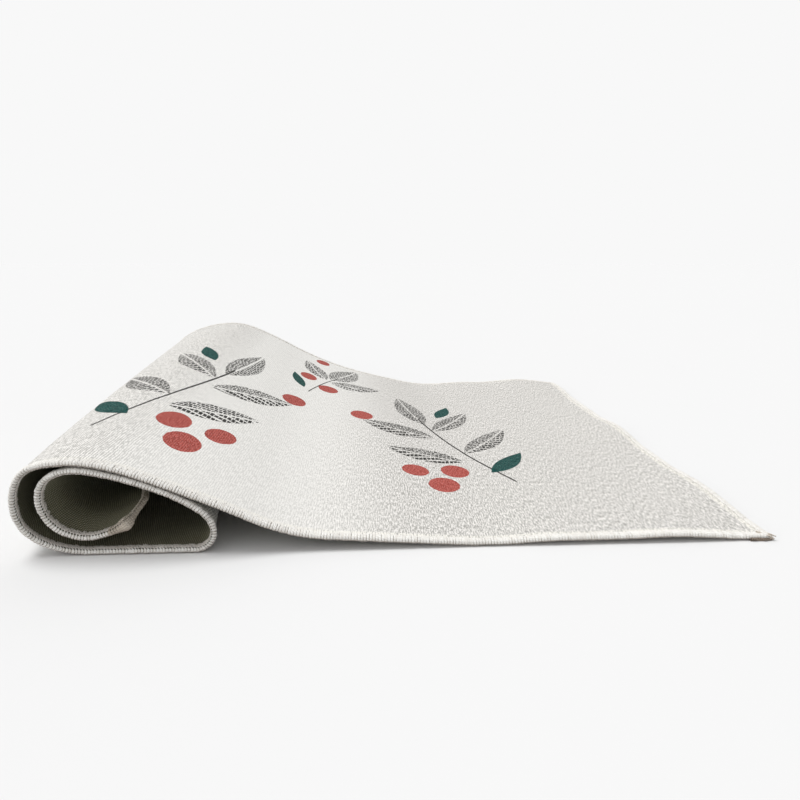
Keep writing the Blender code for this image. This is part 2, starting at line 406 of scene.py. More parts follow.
# ---- node helpers ------------------------------------------------------------------
class Nodes:
    """Short forms for building a shader's node tree."""

    def __init__(self, tree):
        self.tree = tree

    def new(self, kind, inputs=None, **settings):
        node = self.tree.nodes.new(kind)
        for key, value in settings.items():
            setattr(node, key, value)
        for key, value in (inputs or {}).items():
            if isinstance(value, bpy.types.NodeSocket):
                self.tree.links.new(value, node.inputs[key])
            else:
                node.inputs[key].default_value = value
        return node

    def math(self, operation, *values, clamp=False):
        node = self.new("ShaderNodeMath", dict(enumerate(values)), operation=operation)
        node.use_clamp = clamp
        return node.outputs[0]

    def vector(self, operation, *values):
        node = self.new(
            "ShaderNodeVectorMath", dict(enumerate(values)), operation=operation
        )
        return node.outputs[1 if operation in ("LENGTH", "DOT_PRODUCT") else 0]

    def combine(self, x, y, z=0.0):
        return self.new("ShaderNodeCombineXYZ", {0: x, 1: y, 2: z}).outputs[0]

    def split(self, vector):
        return self.new("ShaderNodeSeparateXYZ", {0: vector}).outputs

    def mix(self, factor, one, two, blend="MIX"):
        node = self.new("ShaderNodeMix", data_type="RGBA", blend_type=blend)
        for index, value in ((0, factor), (6, one), (7, two)):
            if isinstance(value, bpy.types.NodeSocket):
                self.tree.links.new(value, node.inputs[index])
            elif index:
                node.inputs[index].default_value = (*value, 1.0)
            else:
                node.inputs[index].default_value = value
        return node.outputs[2]

    def step(self, value, low, high):
        """0 below low, 1 above high, smooth between."""
        node = self.new(
            "ShaderNodeMapRange",
            {"Value": value, "From Min": low, "From Max": high},
            interpolation_type="SMOOTHSTEP",
        )
        return node.outputs[0]

    def noise(self, vector, scale=1.0, detail=2.0, roughness=0.5, dims="2D", distort=0.0):
        return self.new(
            "ShaderNodeTexNoise",
            {
                "Vector": vector,
                "Scale": scale,
                "Detail": detail,
                "Roughness": roughness,
                "Distortion": distort,
            },
            noise_dimensions=dims,
        ).outputs

    def uv(self, name):
        return self.new("ShaderNodeUVMap", uv_map=name).outputs[0]


def srgb(r, g, b):
    """A colour given as it shows on a screen, 0 to 255, as linear light."""
    return tuple(
        c / 12.92 if c <= 0.04045 else ((c + 0.055) / 1.055) ** 2.4
        for c in (r / 255.0, g / 255.0, b / 255.0)
    )


def fabric(name, roughness, sheen=0.0, specular=0.25):
    material = bpy.data.materials.new(name)
    material.use_nodes = True
    shader = material.node_tree.nodes["Principled BSDF"]
    shader.inputs["Roughness"].default_value = roughness
    shader.inputs["Specular IOR Level"].default_value = specular
    shader.inputs["Sheen Weight"].default_value = sheen
    shader.inputs["Sheen Roughness"].default_value = 0.5
    return material, Nodes(material.node_tree), shader


def set_bump(n, shader, height, strength, distance):
    bump = n.new(
        "ShaderNodeBump", {"Height": height, "Strength": strength, "Distance": distance}
    )
    n.tree.links.new(bump.outputs[0], shader.inputs["Normal"])


# ---- the print ---------------------------------------------------------------------
# A generic botanical print: two sprigs with hatched leaves, round berries and
# small plain leaves. All numbers are millimetres and degrees in the sprig's own
# plan: a runs up its stem, b across. The second sprig's plan is drawn 1 m along a.
SHAPES = (
    # sprig  kind       a_mm   b_mm   turn  half_long  half_wide  bow
    (0,     "hatched",  150,     6,     5,      84,        24,    0.0004),
    (0,     "hatched",   74,    60,    52,      72,        22,   -0.0008),
    (0,     "hatched",   44,   -62,   -46,      68,        26,    0.0008),
    (0,     "hatched",  -38,    66,    56,      74,        22,   -0.0008),
    (0,     "hatched",  -70,   -64,   -50,      62,        24,    0.0008),
    (0,     "teal",    -132,    44,    58,      50,        15,   -0.0010),
    (0,     "teal",     136,    72,    40,      42,        13,   -0.0010),
    (0,     "coral",   -136,   -46,    10,      22,        20,    0.0),
    (0,     "coral",   -174,   -82,    30,      23,        21,    0.0),
    (0,     "coral",   -122,  -100,   -20,      20,        18,    0.0),
    (0,     "coral",    112,  -100,     0,      22,        20,    0.0),
    (1,     "hatched",   56,     0,     0,      72,        31,    0.0006),
    (1,     "hatched",    4,    56,    52,      60,        25,   -0.0010),
    (1,     "hatched",   -4,   -56,   -54,      62,        26,    0.0010),
    (1,     "coral",    -62,    36,    20,      22,        19,    0.0),
    (1,     "coral",    -84,   -26,   -10,      23,        21,    0.0),
    (1,     "coral",     86,    78,     0,      19,        17,    0.0),
    (1,     "teal",    -112,    34,    45,      42,        13,   -0.0010),
)
STEMS = (
    # sprig  from_mm  to_mm  bow     half_wide_mm
    (0,        -196,    100,  0.0004,     2.0),
    (1,        -152,     20, -0.0006,     1.6),
)
PLACES = (
    # sprig  s_mm  y_mm  turn  mirrored  size
    (1,       560,  655,  112,   True,   1.00),
    (1,      1045,  640,   70,   False,  1.00),
    (1,      1330,  620,  110,   True,   1.00),
    (0,       345,  370,   70,   False,  1.10),
    (0,       765,  330,  104,   True,   1.16),
    (0,      1160,  340,   72,   False,  1.00),
)
BESIDE_MM = 10  # the printed faces reach this far past each shape


def on_sprig(sprig, a, b):
    """Is a place of a sprig's plan, in mm, on or just beside one of its shapes?"""
    found = np.zeros(a.shape, bool)
    for own, _, a0, b0, turn, half_long, half_wide, bow in SHAPES:
        if own == sprig:
            c, d = math.cos(math.radians(turn)), math.sin(math.radians(turn))
            p = (a - a0) * c + (b - b0) * d
            q = (b - b0) * c - (a - a0) * d - bow * p * p
            found |= (p / (half_long + BESIDE_MM)) ** 2 + (q / (half_wide + BESIDE_MM)) ** 2 < 1
    for own, start, end, bow, _ in STEMS:
        if own == sprig:
            beside = abs(b - bow * a * a) < BESIDE_MM
            found |= beside & (a > start - BESIDE_MM) & (a < end + BESIDE_MM)
    return found


def motif_uv(s, y):
    """For each face (corners s, y: n by 4) its place in a sprig's own plan."""
    uv = np.full(s.shape + (2,), 9.0)
    printed = np.zeros(len(s), bool)
    cs, cy = s.mean(axis=1), y.mean(axis=1)
    for sprig, s_mm, y_mm, turn, mirrored, size in PLACES:
        c, d = math.cos(math.radians(turn)), math.sin(math.radians(turn))

        def plan(ps, py):
            ds, dy = ps - s_mm / 1000.0, py - y_mm / 1000.0
            a, b = (ds * c + dy * d) / size, (-ds * d + dy * c) / size
            return a, -b if mirrored else b

        a, b = plan(cs, cy)
        here = on_sprig(sprig, a * 1000.0, b * 1000.0) & ~printed
        pa, pb = plan(s[here], y[here])
        uv[here] = np.stack([pa + sprig, pb], axis=-1)
        printed |= here
    return uv, printed


def shape_group():
    """A node group: is a point inside a leaf or berry, and where in it."""
    group = bpy.data.node_groups.new("print_shape", "ShaderNodeTree")
    for kind, name in (
        ("NodeSocketVector", "Plan"),
        ("NodeSocketVector", "Centre"),
        ("NodeSocketFloat", "Turn"),
        ("NodeSocketFloat", "Half long"),
        ("NodeSocketFloat", "Half wide"),
        ("NodeSocketFloat", "Bow"),
        ("NodeSocketFloat", "Round"),
    ):
        group.interface.new_socket(name=name, in_out="INPUT", socket_type=kind)
    group.interface.new_socket(name="Inside", in_out="OUTPUT", socket_type="NodeSocketFloat")
    group.interface.new_socket(name="Local", in_out="OUTPUT", socket_type="NodeSocketVector")
    n = Nodes(group)
    inputs = group.nodes.new("NodeGroupInput").outputs
    outputs = group.nodes.new("NodeGroupOutput").inputs
    moved = n.vector("SUBTRACT", inputs["Plan"], inputs["Centre"])
    back = n.math("MULTIPLY", inputs["Turn"], -1.0)
    turned = n.new(
        "ShaderNodeVectorRotate", {"Vector": moved, "Angle": back}, rotation_type="Z_AXIS"
    ).outputs[0]
    parts = n.split(turned)
    p = parts[0]
    q = n.math("SUBTRACT", parts[1], n.math("MULTIPLY", inputs["Bow"], n.math("MULTIPLY", p, p)))
    t = n.math("DIVIDE", p, inputs["Half long"])
    lens = n.math("MAXIMUM", n.math("SUBTRACT", 1.0, n.math("MULTIPLY", t, t)), 0.0)
    # a leaf is a lens, widest nearer its foot; a berry is an ellipse
    leaf = n.math("MULTIPLY", lens, n.math("SUBTRACT", 1.0, n.math("MULTIPLY", t, 0.22)))
    oval = n.math("SQRT", lens)
    width = n.math(
        "ADD",
        n.math("MULTIPLY", leaf, n.math("SUBTRACT", 1.0, inputs["Round"])),
        n.math("MULTIPLY", oval, inputs["Round"]),
    )
    room = n.math(
        "SUBTRACT",
        n.math("MULTIPLY", width, inputs["Half wide"]),
        n.math("ABSOLUTE", q),
    )
    n.tree.links.new(n.step(room, 0.0, 0.0009), outputs["Inside"])
    n.tree.links.new(n.combine(p, q, 0.0), outputs["Local"])
    return group


def print_nodes(n, streaks):
    """Ink of the print: (hatched or line ink, coral, teal), each 0 to 1."""
    group = shape_group()
    plan = n.uv("motif")
    flat = n.uv("flat")
    shake = n.noise(n.vector("MULTIPLY", flat, (420.0, 160.0, 0.0)), 1.0, 2.0, 0.6)[1]
    shake = n.vector("SUBTRACT", shake, (0.5, 0.5, 0.5))
    plan = n.vector("ADD", plan, n.vector("MULTIPLY", shake, (0.0018, 0.0018, 0.0)))
    found = {"hatched": None, "coral": None, "teal": None}
    local = None
    for sprig, kind, a, b, turn, half_long, half_wide, bow in SHAPES:
        shape = n.new("ShaderNodeGroup")
        shape.node_tree = group
        n.tree.links.new(plan, shape.inputs["Plan"])
        shape.inputs["Centre"].default_value = (a / 1000.0 + sprig, b / 1000.0, 0.0)
        shape.inputs["Turn"].default_value = math.radians(turn)
        shape.inputs["Half long"].default_value = half_long / 1000.0
        shape.inputs["Half wide"].default_value = half_wide / 1000.0
        shape.inputs["Bow"].default_value = bow * 1000.0
        shape.inputs["Round"].default_value = 1.0 if kind == "coral" else 0.0
        inside = shape.outputs["Inside"]
        found[kind] = (
            inside if found[kind] is None else n.math("MAXIMUM", found[kind], inside)
        )
        if kind == "hatched":
            here = n.new(
                "ShaderNodeVectorMath",
                {0: shape.outputs["Local"]},
                operation="SCALE",
            )
            n.tree.links.new(inside, here.inputs["Scale"])
            local = (
                here.outputs[0]
                if local is None
                else n.vector("ADD", local, here.outputs[0])
            )
    # Hatching: short strokes in rows along the rug, bent at each leaf's midrib.
    parts = n.split(local)
    side = n.math("ABSOLUTE", parts[1])
    at = n.split(n.vector("ADD", flat, n.vector("MULTIPLY", shake, (0.0030, 0.0024, 0.0))))
    row = n.math("DIVIDE", n.math("ADD", at[1], n.math("MULTIPLY", side, 0.40)), 0.0092)
    row_id = n.math("FLOOR", row)
    row_at = n.math("ABSOLUTE", n.math("SUBTRACT", n.math("FRACT", row), 0.5))
    lot = n.new("ShaderNodeTexWhiteNoise", {"W": row_id}, noise_dimensions="1D").outputs[0]
    dash = n.math("ADD", n.math("DIVIDE", at[0], 0.0066), n.math("MULTIPLY", lot, 7.0))
    dash_id = n.math("FLOOR", dash)
    dash_at = n.math("ABSOLUTE", n.math("SUBTRACT", n.math("FRACT", dash), 0.5))
    weight = n.new(
        "ShaderNodeTexWhiteNoise",
        {"Vector": n.combine(row_id, dash_id, 0.0)},
        noise_dimensions="2D",
    ).outputs[0]
    thick = n.math("ADD", 0.28, n.math("MULTIPLY", weight, 0.17))
    stroke = n.step(n.math("SUBTRACT", thick, row_at), -0.02, 0.05)
    stroke = n.math("MULTIPLY", stroke, n.step(n.math("SUBTRACT", 0.43, dash_at), -0.02, 0.06))
    midrib = n.step(side, 0.0014, 0.0022)
    hatch = n.math("MULTIPLY", found["hatched"], n.math("MULTIPLY", stroke, midrib))
    # Stems: a drawn line, slightly bowed.
    spot = n.split(plan)
    for sprig, start, end, bow, half in STEMS:
        a = n.math("SUBTRACT", spot[0], float(sprig))
        off = n.math("SUBTRACT", spot[1], n.math("MULTIPLY", n.math("MULTIPLY", a, a), bow * 1000.0))
        line = n.step(n.math("SUBTRACT", half / 1000.0, n.math("ABSOLUTE", off)), 0.0, 0.0007)
        line = n.math("MULTIPLY", line, n.step(a, start / 1000.0, start / 1000.0 + 0.002))
        line = n.math("MULTIPLY", line, n.step(n.math("MULTIPLY", a, -1.0), -end / 1000.0, -end / 1000.0 + 0.002))
        hatch = n.math("MAXIMUM", hatch, line)
    return hatch, found["coral"], found["teal"]


# ---- materials -------------------------------------------------------------------------
CREAM_LIGHT = srgb(238, 235, 231)
CREAM_MEAN = srgb(208, 206, 200)
CREAM_DARK = srgb(164, 162, 157)
CREAM_SEAM = srgb(240, 237, 229)
# painted light: the lighter cream of the rising slope
CREAM_RISE_LIGHT = srgb(243, 242, 238)


def pile(name, printed):
    """Chenille: short bright tufts that lie across the rug, in fine uneven rows."""
    material, n, shader = fabric(name, 0.9, sheen=0.02, specular=0.06)
    flat = n.uv("flat")
    wander = n.noise(n.vector("MULTIPLY", flat, (30.0, 22.0, 0.0)), 1.0, 1.0, 0.5)[1]
    wander = n.vector("MULTIPLY", n.vector("SUBTRACT", wander, (0.5, 0.5, 0.5)), (0.0030, 0.0, 0.0))
    flat = n.vector("ADD", flat, wander)
    spot = n.split(flat)
    strands = n.noise(n.vector("MULTIPLY", flat, (760.0, 120.0, 0.0)), 1.0, 0.0, 0.5)[0]
    tufts = n.noise(n.vector("MULTIPLY", flat, (1180.0, 330.0, 0.0)), 1.0, 0.0, 0.5)[0]
    fibres = n.noise(n.vector("MULTIPLY", flat, (1800.0, 560.0, 0.0)), 1.0, 0.0, 0.5)[0]
    cloudy = n.noise(n.vector("MULTIPLY", flat, (11.0, 11.0, 0.0)), 1.0, 2.0, 0.5)[0]
    # rows of chenille: they part where the cloth bends over the roll
    row = n.math("DIVIDE", spot[0], 0.0031)
    row_id = n.math("FLOOR", row)
    off = n.math("SUBTRACT", n.math("MULTIPLY", n.math("FRACT", row), 2.0), 1.0)
    dome = n.math("SUBTRACT", 1.0, n.math("MULTIPLY", off, off))
    dash = n.noise(
        n.combine(n.math("MULTIPLY", row_id, 7.31), n.math("MULTIPLY", spot[1], 95.0), 0.0),
        1.0, 1.0, 0.5,
    )[0]
    parted = n.math("ADD", 0.08, n.math("MULTIPLY", n.step(spot[0], 0.45, 0.80), 0.30))
    rows = n.math("MULTIPLY", n.math("MULTIPLY", dome, n.math("ADD", dash, 0.25)), parted)
    height = n.math(
        "ADD",
        n.math("ADD", n.math("MULTIPLY", strands, 0.38), n.math("MULTIPLY", tufts, 0.42)),
        n.math("ADD", n.math("MULTIPLY", fibres, 0.20), rows),
    )
    height = n.math("SUBTRACT", height, n.math("MULTIPLY", parted, 0.55))
    light = n.new(
        "ShaderNodeMapRange", {"Value": height, "From Min": 0.42, "From Max": 0.575}
    ).outputs[0]
    colour = n.mix(light, CREAM_DARK, CREAM_LIGHT)
    colour = n.mix(n.math("MULTIPLY", n.step(cloudy, 0.3, 0.75), 0.10), colour, CREAM_MEAN)
    # painted light: where the cloth rises the pile is made lighter, for the brighter light on the slope, less so over
    # the roll
    lean_and_rise_light = n.math("MULTIPLY", n.step(spot[0], 0.40, 0.60), 0.60)
    lean_and_rise_light = n.math("MULTIPLY", lean_and_rise_light, n.math("SUBTRACT", 1.0, n.math("MULTIPLY", n.step(spot[0], 0.72, 0.82), 0.75)))
    colour = n.mix(lean_and_rise_light, colour, CREAM_RISE_LIGHT)
    # the tufts beside the seam are pushed up and catch the light
    rim = n.math(
        "MINIMUM",
        n.math("MINIMUM", spot[0], n.math("SUBTRACT", LENGTH, spot[0])),
        n.math("MINIMUM", spot[1], n.math("SUBTRACT", WIDTH, spot[1])),
    )
    seam = n.math("MULTIPLY", n.step(rim, 0.0175, 0.0125), n.step(height, 0.30, 0.52))
    colour = n.mix(n.math("MULTIPLY", seam, 0.8), colour, CREAM_SEAM)
    # and at the inner end, deep in the roll, the pile is darkened to a dull brown: painted shade
    press_and_shade = n.math("MULTIPLY", n.step(spot[0], LENGTH - 0.024, LENGTH - 0.010), 0.75)
    colour = n.mix(press_and_shade, colour, srgb(176, 165, 150))
    if printed:
        hatch, coral, teal = print_nodes(n, height)
        # the ink misses the deepest gaps and the tips of some tufts
        take = n.math("ADD", 0.90, n.math("MULTIPLY", n.step(tufts, 0.68, 0.45), 0.10))
        for ink, dark, bright in (
            (hatch, srgb(26, 25, 24), srgb(66, 65, 62)),
            (coral, srgb(146, 62, 54), srgb(188, 92, 83)),
            (teal, srgb(2, 52, 49), srgb(10, 82, 77)),
        ):
            shade = n.mix(light, dark, bright)
            colour = n.mix(n.math("MULTIPLY", ink, take), colour, shade)
    n.tree.links.new(colour, shader.inputs["Base Color"])
    set_bump(n, shader, height, 0.22, 0.0008)
    return material


def backing():
    """The woven, coated back: dark, with rows of raised points."""
    material, n, shader = fabric("woven_back", 0.72, sheen=0.0, specular=0.35)
    flat = n.uv("flat")
    uneven = n.noise(n.vector("MULTIPLY", flat, (60.0, 60.0, 0.0)), 1.0, 2.0, 0.5)[1]
    uneven = n.vector("MULTIPLY", n.vector("SUBTRACT", uneven, (0.5, 0.5, 0.5)), (0.0012, 0.0012, 0.0))
    spot = n.split(n.vector("ADD", flat, uneven))
    # raised points in a staggered grid
    one = n.math("SINE", n.math("MULTIPLY", n.math("ADD", spot[0], spot[1]), 2 * math.pi / 0.0050))
    two = n.math("SINE", n.math("MULTIPLY", n.math("SUBTRACT", spot[0], spot[1]), 2 * math.pi / 0.0050))
    points = n.math("ADD", n.math("MULTIPLY", n.math("MULTIPLY", one, two), 0.5), 0.5)
    grain = n.noise(n.vector("MULTIPLY", flat, (900.0, 900.0, 0.0)), 1.0, 2.0, 0.6)[0]
    height = n.math("ADD", points, n.math("MULTIPLY", grain, 0.25))
    speck = n.step(n.math("MULTIPLY", points, n.math("ADD", 0.5, grain)), 0.70, 0.98)
    colour = n.mix(n.step(height, 0.1, 0.8), srgb(62, 60, 46), srgb(124, 121, 98))
    colour = n.mix(n.math("MULTIPLY", speck, 0.70), colour, srgb(196, 195, 178))
    wide = n.noise(n.vector("MULTIPLY", flat, (14.0, 14.0, 0.0)), 1.0, 3.0, 0.6)[0]
    colour = n.mix(n.math("MULTIPLY", n.step(wide, 0.35, 0.7), 0.25), colour, srgb(82, 84, 68))
    n.tree.links.new(colour, shader.inputs["Base Color"])
    set_bump(n, shader, height, 0.7, 0.0007)
    return material


def cut_side():
    """The cut side of the cloth between the threads: cream fibres over the back."""
    material, n, shader = fabric("cut_side", 0.9)
    flat = n.uv("flat")
    fibres = n.noise(n.vector("MULTIPLY", flat, (1400.0, 1400.0, 0.0)), 1.0, 3.0, 0.6)[0]
    colour = n.mix(n.step(fibres, 0.35, 0.65), srgb(204, 196, 184), srgb(240, 235, 226))
    n.tree.links.new(colour, shader.inputs["Base Color"])
    set_bump(n, shader, fibres, 0.5, 0.0006)
    return material


def yarn(name, deep, pale, dull, painted_shade_below):
    """Soft overlocking thread: fine filaments with a slow twist, with painted shade on its sides that face down."""
    material, n, shader = fabric(name, 0.85, sheen=0.15, specular=0.15)
    run = n.split(n.uv("run"))
    phase = n.math("ADD", n.math("MULTIPLY", run[0], 2 * math.pi / 0.0022), n.math("MULTIPLY", run[1], 2 * math.pi * 2))
    twist = n.math("ADD", n.math("MULTIPLY", n.math("SINE", phase), 0.5), 0.5)
    along = n.combine(n.math("MULTIPLY", run[0], 900.0), n.math("MULTIPLY", run[1], 9.0), 0.0)
    fuzz = n.noise(along, 1.0, 2.0, 0.6)[0]
    wide = n.noise(n.combine(n.math("MULTIPLY", run[0], 70.0), 0.5, 0.0), 1.0, 2.0, 0.5)[0]
    height = n.math("ADD", n.math("MULTIPLY", twist, 0.6), n.math("MULTIPLY", fuzz, 0.5))
    colour = n.mix(n.step(height, 0.2, 0.9), deep, pale)
    colour = n.mix(n.math("MULTIPLY", n.step(wide, 0.42, 0.66), 0.40), colour, dull)
    # painted shade: the sides that face down are darkened towards a grey brown, by the given share
    facing = n.split(n.new("ShaderNodeNewGeometry").outputs["Normal"])[2]
    below = n.math("MULTIPLY", n.step(facing, 0.05, -0.60), painted_shade_below)
    colour = n.mix(below, colour, srgb(126, 112, 98))
    n.tree.links.new(colour, shader.inputs["Base Color"])
    set_bump(n, shader, height, 0.6, 0.0004)
    return material


# ---- the pieces --------------------------------------------------------------------------
def lines_along():
    edge = [x / 1000.0 for x in EDGE_LINES_MM]
    found = list(edge[:-1])
    for _, start, end, step in CELLS:
        count = math.ceil((end - start) / step)
        found += [(start + (end - start) * k / count) / 1000.0 for k in range(count)]
    return np.array(found + [LENGTH - x for x in reversed(edge)])


def lines_across():
    edge = [x / 1000.0 for x in EDGE_LINES_MM]
    span = WIDTH - 2 * edge[-1]
    count = math.ceil(span / ACROSS_STEP)
    middle = [edge[-1] + span * k / count for k in range(count)]
    return np.array(edge[:-1] + middle + [WIDTH - x for x in reversed(edge)])


def make_cloth(laid, materials):
    along, across = lines_along(), lines_across()
    ss, yy = np.meshgrid(along, across, indexing="ij")
    rim = np.minimum(np.minimum(ss, LENGTH - ss), np.minimum(yy, WIDTH - yy))
    table = np.array(EDGE_HEIGHT_MM) / 1000.0
    half = np.interp(rim, table[:, 0], table[:, 1]) * knob(ss, yy)
    face = half + (
        0.00016 * soft_noise(ss, yy, 5, 0.011) + 0.00012 * soft_noise(ss, yy, 6, 0.028)
    ) * smooth((rim - 0.008) / 0.01)
    top = laid.lay(ss, yy, face)
    bottom = laid.lay(ss, yy, -half)
    for side in (top, bottom):  # the pile that lies on the floor is pressed level with it
        side[..., 2] = np.maximum(side[..., 2], 0.0)
    rows = len(across)
    index = np.arange(ss.size).reshape(ss.shape)
    cell = np.stack([index[:-1, :-1], index[:-1, 1:], index[1:, 1:], index[1:, :-1]], -1).reshape(-1, 4)
    over = ss.size
    # the outline, once round, as a strip between top and bottom
    ring = np.concatenate([index[:, 0], index[-1, 1:], index[-2::-1, -1], index[0, -2:0:-1]])
    nxt = np.roll(ring, -1)
    strip = np.stack([ring, nxt, nxt + over, ring + over], -1)
    corner_s, corner_y = ss.reshape(-1)[cell], yy.reshape(-1)[cell]
    flat = np.stack([corner_s, corner_y], -1)
    motif, printed = motif_uv(corner_s, corner_y)
    strip_flat = np.stack([ss.reshape(-1)[np.where(strip >= over, strip - over, strip)],
                           yy.reshape(-1)[np.where(strip >= over, strip - over, strip)]], -1)
    strip_flat[:, 2:, :] += 0.003
    nowhere = np.full(flat.shape, 9.0)
    obj = make_object(
        "rug_sheet",
        np.concatenate([top.reshape(-1, 3), bottom.reshape(-1, 3)]),
        [cell, cell[:, ::-1] + over, strip],
        materials,
        {
            "flat": [flat, flat[:, ::-1], strip_flat],
            "motif": [motif, nowhere, np.full(strip_flat.shape, 9.0)],
        },
        np.concatenate([printed.astype(int), np.full(len(cell), 2), np.full(len(strip), 3)]),
    )
    return obj


def outline(t, inset):
    """Flat place of a point: t along the rug's rounded outline, inset from it."""
    r = CORNER
    long, short, arc = LENGTH - 2 * r, WIDTH - 2 * r, math.pi * r / 2.0
    s, y = np.zeros_like(t), np.zeros_like(t)
    total = 2 * (long + short) + 4 * arc
    t = np.mod(t, total)
    corner_inset = r - (r - 0.0004) * (1 - np.exp(-inset / (r - 0.0004) * 1.0)) / (1 - math.exp(-2.0))
    start = 0.0
    spans = (
        ("front", long), ("corner", arc), ("inner", short), ("corner", arc),
        ("far", long), ("corner", arc), ("flat", short), ("corner", arc),
    )
    centres = ((LENGTH - r, r), (LENGTH - r, WIDTH - r), (r, WIDTH - r), (r, r))
    number = 0
    for kind, span in spans:
        here = (t >= start) & (t < start + span)
        w = t[here] - start
        i = inset[here]
        if kind == "front":
            s[here], y[here] = r + w, i
        elif kind == "inner":
            s[here], y[here] = LENGTH - i, r + w
        elif kind == "far":
            s[here], y[here] = LENGTH - r - w, WIDTH - i
        elif kind == "flat":
            s[here], y[here] = i, WIDTH - r - w
        else:
            turn = -math.pi / 2 + number * math.pi / 2 + w / arc * math.pi / 2
            reach = np.maximum(r - i, 0.0003 + 0.05 * corner_inset[here])
            s[here] = centres[number][0] + reach * np.cos(turn)
            y[here] = centres[number][1] + reach * np.sin(turn)
            number += 1
        start += span
    return s, y


def outline_length():
    return 2 * (LENGTH + WIDTH - 4 * CORNER) + 2 * math.pi * CORNER


def make_sewing(laid, materials):
    """The overlocking: four pieces, one for each side, each of four yarns."""
    total = outline_length()
    count = round(total / STITCH)
    pitch = total / count
    arc = math.pi * CORNER / 2.0
    long, short = LENGTH - 2 * CORNER, WIDTH - 2 * CORNER
    marks = np.array([-arc / 2, long + arc / 2, long + short + 1.5 * arc,
                      2 * long + short + 2.5 * arc, total - arc / 2])
    marks = np.round(marks / pitch).astype(int)
    rng = np.random.default_rng(20)
    jitter = rng.normal(0.0, 1.0, (count, 8))
    slow = np.convolve(np.tile(rng.normal(0, 1, count), 3), np.hanning(17) / 8.0, "same")[count:2 * count]
    pieces = []
    for k, name in enumerate(("front", "inner_end", "far", "flat_end")):
        stitches = np.arange(marks[k], marks[k + 1])
        group = {}
        for _, cell, radius, sides in YARNS:
            cell = np.array(cell)
            steps = len(cell)
            lot = jitter[stitches % count]
            drift = slow[stitches % count]
            u = cell[None, :, 0] + np.zeros((len(stitches), 1))
            t = (stitches[:, None] + u) * pitch
            t = t + 0.00022 * lot[:, 0:1] * smooth((cell[:, 1] - 1.0) / 5.0)[None, :]
            t = t + 0.00016 * np.where(cell[:, 0] < 0.5, 1.0, -1.0)[None, :] * lot[:, 5:6]
            reach = 1.0 + 0.075 * lot[:, 1:2] + 0.035 * drift[:, None]
            inset = cell[None, :, 1] * np.where(cell[None, :, 1] > 3.0, reach, 1.0) / 1000.0
            if name == "inner_end":
                inset = 0.0012 + (inset - 0.0012) * 0.60
            if name == "flat_end" and sides != 5:
                inset = 0.0012 + (inset - 0.0012) * 0.74
            inset = inset - 0.00016 * (drift[:, None] + 0.5 * lot[:, 2:3])
            up = cell[None, :, 2] * (1.0 + 0.035 * lot[:, 3:4]) / 1000.0
            thick = radius / 1000.0 * (1.0 + 0.10 * lot[:, 4:5]) * cell[None, :, 3]
            t, inset, up, thick = (x.reshape(-1) for x in (t, inset, up, thick))
            s, y = outline(t, inset)
            grow = knob(s, y)
            # two turns of the front side's sewing press on each other here
            press_and_shade = 1.0 - 0.15 * np.exp(-(((s - 1.227) / 0.016) ** 2)) * (y < 0.05)
            points = laid.lay(s, y, up * grow * press_and_shade)
            thick = thick * grow**0.6
            points[:, 2] = np.maximum(points[:, 2], thick)
            # material 2 is the darker inner thread: painted shade on the sewing at the inner end, deep in the roll
            kind = np.full(len(s), 2 if name == "inner_end" else int(sides == 5))
            kind[s > LENGTH - 0.024] = 2
            made = tube(points, (0.1, 0.2, 1.0), thick, sides)
            group.setdefault(sides, []).append((made, np.repeat(kind[:-1], sides)))
        verts, faces, uvs, base = [], [], [], 0
        end_faces, end_uvs, kinds, end_kinds = [], [], [], []
        for sides, tubes in group.items():
            v, q, uv, ends, e_uv = joined([made for made, _ in tubes])
            verts.append(v)
            faces.append(q + base)
            uvs.append(uv)
            end_faces += [e + base for e in ends]
            end_uvs += e_uv
            kinds += [kind for _, kind in tubes]
            end_kinds += [np.full(len(e), int(sides == 5)) for e in ends]
            base += len(v)
        piece = make_object(
            "overlock_" + name,
            np.concatenate(verts),
            faces + end_faces,
            materials,
            {"run": uvs + end_uvs},
            np.concatenate(kinds + end_kinds),
        )
        pieces.append(piece)
    return pieces


def make_tail(laid, materials):
    """The cut thread ends that stick out at the front corner of the flat end."""
    rng = np.random.default_rng(7)
    tubes = []
    for k in range(30):
        t = np.linspace(0.0, 1.0, 16)
        if k < 18:  # ends that lie over the corner
            length, lean_and_rise_light = rng.uniform(0.0150, 0.0205), rng.uniform(-0.02, 0.50)
            s, y, up = 0.0150, 0.0080 + rng.uniform(-0.0024, 0.0016), rng.uniform(-0.0035, 0.0034)
        else:  # ends that run out below the front edge
            length, lean_and_rise_light = rng.uniform(0.0165, 0.0265), rng.uniform(-0.06, 0.07)
            s, y, up = 0.0260, 0.0004 + rng.uniform(-0.0010, 0.0016), rng.uniform(-0.0036, -0.0004)
        s = s - t * length * math.cos(lean_and_rise_light)
        y = y - t * length * math.sin(lean_and_rise_light) + 0.0007 * np.sin(t * 8 + k)
        up = up + 0.0007 * np.sin(t * 9 + 2 * k)
        radius = (0.00095 if k < 18 else 0.00070) * (1.0 - 0.30 * t**3)
        points = laid.lay(s, y, up)
        points[:, 2] = np.maximum(points[:, 2] - 0.0012 * t, radius)
        tubes.append(tube(points, (0.0, 0.3, 1.0), radius, 6))
    v, q, uv, ends, e_uv = joined(tubes)
    # the ends that run out below the front edge take the dark thread: painted shade under the edge
    kinds = np.repeat((np.arange(len(tubes)) >= 18).astype(int), len(q) // len(tubes))
    end_kinds = [np.full(len(e), int(k >= 18)) for k, e in enumerate(ends)]
    return make_object(
        "thread_tail", v, [q] + ends, materials, {"run": [uv] + e_uv},
        np.concatenate([kinds] + end_kinds),
    )


